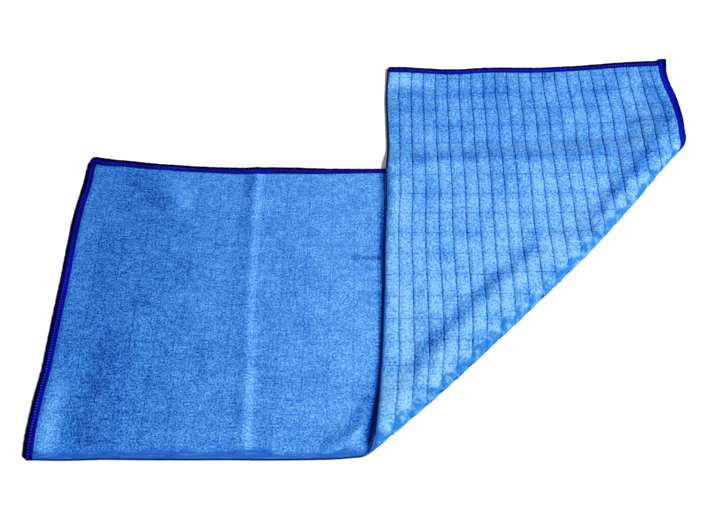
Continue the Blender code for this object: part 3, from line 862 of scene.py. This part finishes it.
def thread_material(name, colour, dark):
    """Textured polyester overlock thread, wound over the edge: satin, with fine filaments across the edge
    that show as light and dark lines, one stitch a little different from the next. Painted shade darkens the
    thread over the outer edge, the more so where its tone is low."""
    surface = Surface(name, 0.6, 0.02, 0.0, colour)
    sewn, tone = surface.stored("sewn", "Vector"), surface.stored("tone")
    filaments = surface.grain(sewn, 0.5 * MM, 3 * MM)
    stitches = surface.grain(sewn, bpy.context.scene.edging_sizes.stitch_pitch, detail=1.0)
    shade = surface.ranged(surface.maths("MULTIPLY", filaments, stitches), 0.10, 0.36, 0.3)
    # Painted shade: the thread darkens towards the outer edge, less so where its tone is high
    inset = surface.node("ShaderNodeSeparateXYZ", {0: sewn}, "Z")
    inner = surface.ranged(inset, 1.5 * MM, 4.6 * MM, ease="SMOOTHSTEP")
    inner = surface.maths("MAXIMUM", inner, surface.maths("SUBTRACT", tone, 0.45))
    shade = surface.maths("MULTIPLY", surface.maths("MULTIPLY", shade, tone), inner)
    return surface.finish(surface.mix(shade, (*dark, 1), (*colour, 1)), filaments, 0.6, 0.2 * MM)


def thread_tone(tones, column, at, length):
    """How light the thread is at a place along a length of edging: as the table's column says, which for the
    wound thread is painted light and shade, but a little uneven, and darker at both ends."""
    ends = 0.35 + 0.65 * smooth(np.minimum(at, length - at) / (3 * MM))
    return np.clip(between(tones, at, column) * (1 + mottle("tone", at)) * ends, 0, 1)


def sew_band(name, node, material, length, place, corners, tones):
    """One length of edging: its section carried along the edge in even steps. The threads stand up as a wave
    along the edge that leans across it, each stitch's loop bulges inwards, as the sine's size, and the ends
    are rounded off as quarter ellipses."""
    sizes = bpy.context.scene.edging_sizes
    pitch = sizes.stitch_pitch
    profile = band_profile(sizes)
    inset, height = profile.T
    inner = len(profile) - 4
    slope = np.gradient(profile[:inner], axis=0)
    outwards = np.zeros_like(profile)
    outwards[:inner] = slope[:, ::-1] * (1, -1) / np.linalg.norm(slope, axis=1, keepdims=True)
    steps = int(length / pitch * BAND_STEPS)
    first, last = [corner * (1 - quarter(inset / corner)) for corner in corners]
    at = np.linspace(first, length - last, steps)
    from_end = np.minimum(at, length - at)
    nose = quarter(np.maximum(from_end / BAND_EASE, 0.06))
    wind = np.sin(2 * np.pi * (2 * at / pitch + inset / WINDING_LEAN))
    raised = sizes.thread_relief * (wind + mottle("winding", at, inset))
    loops = (inset > 0.99 * BAND_WIDTH) * sizes.loop_reach * np.abs(np.sin(np.pi * at / pitch))
    w = height * nose + outwards[:, 1] * raised
    proud = sizes.stand_out * (1 - inset / BAND_WIDTH)
    points = place(at, inset + loops - proud + outwards[:, 0] * raised, w)
    index = np.arange(w.size).reshape(w.shape)
    looped = np.concatenate([index, index[:, :1]], axis=1)
    faces = [*grid_faces(looped), index[0], index[-1, ::-1]]
    piece = add_piece(name, points, faces, (material,), "edging_thread", node)
    around = np.cumsum(np.linalg.norm(np.diff(profile, axis=0, prepend=profile[:1]), axis=1))
    give_values(piece.data, "sewn", at, around, inset)
    # The wound thread's tone: painted light and shade by how this side faces the lamp
    give_values(piece.data, "tone", thread_tone(tones, 1, at, length))


def sew_stitches(name, material, length, place, tones):
    """The needle's row on both faces of one length of edging: a short bar across the edging for each stitch,
    round in section and tapered to its ends, half sunk into the edging. The arrays run over the faces, the
    stitches, the sections of a bar and the points of a section."""
    sizes = bpy.context.scene.edging_sizes
    count = int((length - 2 * NEEDLE_START) / sizes.stitch_pitch)
    at = (NEEDLE_START + sizes.stitch_pitch * np.arange(count))[:, None, None]
    face = np.array([1, -1])[:, None, None, None]
    across = np.array([-1, -0.6, 0.6, 1])[:, None]
    around = np.linspace(0, 2 * np.pi, 6, endpoint=False)
    radius = NEEDLE_RADIUS * np.sqrt(1 - 0.75 * across ** 2)
    inset = sizes.needle_inset + NEEDLE_HALF * across + MM * mottle("needle", at)
    level = np.where(face > 0, band_height(sizes.top_height, inset), band_height(sizes.under_height, inset))
    w = face * (level + 0.05 * MM + 0.8 * radius * np.sin(around))
    beside = NEEDLE_LEAN * across + radius * np.cos(around)
    points = place(*np.broadcast_arrays(at + beside, inset, w))
    index = np.arange(w.size).reshape(w.shape)
    over, under = np.concatenate([index, index[..., :1]], axis=-1)
    faces = [*grid_faces(over)[:, ::-1], *grid_faces(under), *index[0, :, 0], *index[0, :, -1, ::-1],
             *index[1, :, 0, ::-1], *index[1, :, -1]]
    piece = add_piece(name, points, faces, (material,), "edging_thread")
    give_values(piece.data, "sewn", at, inset, BAND_WIDTH + 0 * w)
    give_values(piece.data, "tone", thread_tone(tones, 2, at + 0 * w, length))


class OBJECT_OT_sew_overlocked_edging(ClothOperator, bpy.types.Operator):
    """Sew the edging over three sides, with the needle's row on both faces"""
    bl_idname = "object.sew_overlocked_edging"
    bl_label = "Sew Edging"

    def execute(self, context):
        colours = context.scene.cloth_colours
        looper = thread_material("polyester looper thread, wound", colours.looper, colours.shadow)
        under_needle = [0.55 * part for part in colours.looper]
        needle = thread_material("polyester needle thread", colours.needle, under_needle)
        short = STRIP_WIDTH - BAND_WIDTH + SHORT_LAP
        for side, length, place, corners, tones in (
                ("long", STRIP_LENGTH + CHAIN_END, lambda at, inset, w: lay(at, STRIP_WIDTH - inset, w),
                 LONG_CORNERS, LONG_PAINTED_LIGHT_AND_CLARITY),
                ("left", short, lambda at, inset, w: lay(inset, at, w), LEFT_CORNERS, LEFT_PAINTED_LIGHT_AND_CLARITY),
                ("end", short, lambda at, inset, w: lay(STRIP_LENGTH - inset, at, w), END_CORNERS,
                 END_PAINTED_LIGHT_AND_CLARITY)):
            sew_band("overlock_" + side, "edging_" + side, looper, length, place, corners, tones)
            sew_stitches("needle_row_" + side, needle, length, place, tones)
        return {"FINISHED"}


def add_aimed(name, data, place, aim, roll=0.0):
    """A lamp or a camera at a place, turned to its aim and rolled about its own axis."""
    thing = bpy.data.objects.new(name, data)
    towards = (Vector(aim) - Vector(place)).to_track_quat("-Z", "Y").to_matrix().to_4x4()
    thing.matrix_world = Matrix.Translation(place) @ towards @ Matrix.Rotation(roll, 4, "Z")
    bpy.context.scene.collection.objects.link(thing)
    return thing


class OBJECT_OT_set_cloth_stage(ClothOperator, bpy.types.Operator):
    """Set the pale floor, the soft light and the camera"""
    bl_idname = "object.set_cloth_stage"
    bl_label = "Set Stage"

    def execute(self, context):
        scene = context.scene
        bpy.ops.mesh.primitive_plane_add(size=12, location=(0, 0, FLOOR_LEVEL))
        floor = context.object
        floor.name = "floor"
        card = Surface("matt white card", 0.9, 0.5, 0.0, (1, 1, 1))
        card.inputs["Base Color"].default_value = (0.9, 0.9, 0.9, 1)
        floor.data.materials.append(card.material)
        world = bpy.data.worlds.new("studio")
        world.use_nodes = True
        light = world.node_tree.nodes["Background"].inputs
        light["Color"].default_value, light["Strength"].default_value = (1, 1, 1, 1), WORLD_LIGHT
        scene.world = world
        for name, place, size, power in LAMPS:
            light = bpy.data.lights.new(name, "AREA")
            light.shape, light.size, light.energy = "DISK", size, power
            add_aimed(name, light, place, (0, 0, 0))
        camera = bpy.data.cameras.new("camera")
        camera.lens = CAMERA_LENS
        scene.camera = add_aimed("camera", camera, CAMERA_PLACE, CAMERA_AIM, CAMERA_ROLL)
        scene.view_settings.view_transform = "Standard"
        return {"FINISHED"}


class VIEW3D_PT_folded_cloth(bpy.types.Panel):
    """Sizes, colours and steps of the folded cloth"""
    bl_label = "Folded Cloth"
    bl_space_type = "VIEW_3D"
    bl_region_type = "UI"
    bl_category = "Cloth"

    def draw(self, context):
        for group in (context.scene.cloth_sizes, context.scene.edging_sizes, context.scene.cloth_colours):
            box = self.layout.box()
            for name in group.__annotations__:
                box.prop(group, name)
        for step in STEPS:
            self.layout.operator(step.bl_idname)


GROUPS = {"cloth_sizes": ClothSizes, "edging_sizes": EdgingSizes, "cloth_colours": ClothColours}
STEPS = (OBJECT_OT_lay_microfibre_cloth, OBJECT_OT_sew_overlocked_edging, OBJECT_OT_set_cloth_stage)


def register():
    for kind in (*GROUPS.values(), *STEPS, VIEW3D_PT_folded_cloth):
        bpy.utils.register_class(kind)
    for name, kind in GROUPS.items():
        setattr(bpy.types.Scene, name, PointerProperty(type=kind))


def unregister():
    for name in GROUPS:
        delattr(bpy.types.Scene, name)
    for kind in (VIEW3D_PT_folded_cloth, *STEPS[::-1], *GROUPS.values()):
        bpy.utils.unregister_class(kind)


def main():
    register()
    bpy.ops.object.lay_microfibre_cloth()
    bpy.ops.object.sew_overlocked_edging()
    bpy.ops.object.set_cloth_stage()


if __name__ == "__main__":
    main()
